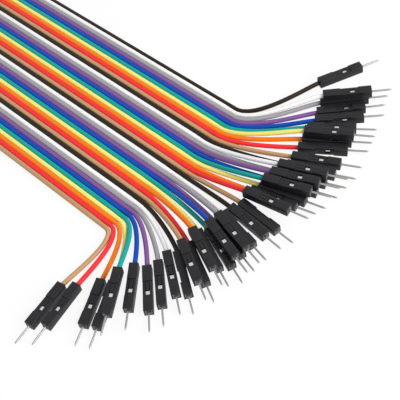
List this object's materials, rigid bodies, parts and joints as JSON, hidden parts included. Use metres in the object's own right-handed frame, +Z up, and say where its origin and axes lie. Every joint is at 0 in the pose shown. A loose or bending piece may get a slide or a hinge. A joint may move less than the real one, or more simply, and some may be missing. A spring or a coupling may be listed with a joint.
{
  "type": "ribbon jumper cable",
  "caption": "Flat ribbon of colour-coded wires bonded side by side, fanned out at one end, each wire with a square black single-way male pin connector at both ends.",
  "frame": {"origin": "on the table under the middle of the laid out cable's outline", "axes": "+X along the bonded wires towards the fanned connectors, +Y across the ribbon towards the last black wire, +Z up from the table"},
  "size_m": [0.213, 0.135, 0.0054],
  "materials": {
    "wire_brown": "brown PVC insulation, satin",
    "wire_red": "red PVC insulation, satin",
    "wire_orange": "orange PVC insulation, satin",
    "wire_yellow": "yellow PVC insulation, satin",
    "wire_green": "green PVC insulation, satin",
    "wire_blue": "blue PVC insulation, satin",
    "wire_purple": "purple PVC insulation, satin",
    "wire_grey": "grey PVC insulation, satin",
    "wire_white": "white PVC insulation, satin",
    "wire_black": "black PVC insulation, satin",
    "housing_black": "black moulded nylon, satin",
    "pin_metal": "bright tin plate over brass"
  },
  "bodies": {
    "root": {"wire_01": "wire_brown", "front_housing_01": "housing_black", "front_pin_01": "pin_metal", "wire_02": "wire_red", "front_housing_02": "housing_black", "front_pin_02": "pin_metal", "wire_03": "wire_orange", "front_housing_03": "housing_black", "front_pin_03": "pin_metal", "wire_04": "wire_yellow", "front_housing_04": "housing_black", "front_pin_04": "pin_metal", "wire_05": "wire_green", "front_housing_05": "housing_black", "front_pin_05": "pin_metal", "wire_06": "wire_blue", "front_housing_06": "housing_black", "front_pin_06": "pin_metal", "wire_07": "wire_purple", "front_housing_07": "housing_black", "front_pin_07": "pin_metal", "wire_08": "wire_grey", "front_housing_08": "housing_black", "front_pin_08": "pin_metal", "wire_09": "wire_white", "front_housing_09": "housing_black", "front_pin_09": "pin_metal", "wire_10": "wire_black", "front_housing_10": "housing_black", "front_pin_10": "pin_metal", "lead_11": "wire_brown", "lead_12": "wire_red", "lead_13": "wire_orange", "lead_14": "wire_yellow", "lead_15": "wire_green", "lead_16": "wire_blue", "lead_17": "wire_purple", "lead_18": "wire_grey", "lead_19": "wire_white", "lead_20": "wire_black", "lead_21": "wire_brown", "lead_22": "wire_red", "lead_23": "wire_orange", "lead_24": "wire_yellow", "lead_25": "wire_green", "lead_26": "wire_blue", "lead_27": "wire_purple", "lead_28": "wire_grey", "lead_29": "wire_white", "lead_30": "wire_black", "lead_31": "wire_brown", "lead_32": "wire_red", "lead_33": "wire_orange", "lead_34": "wire_yellow", "lead_35": "wire_green", "lead_36": "wire_blue", "lead_37": "wire_purple", "lead_38": "wire_grey", "lead_39": "wire_white", "lead_40": "wire_black"}
  },
  "joints": []
}
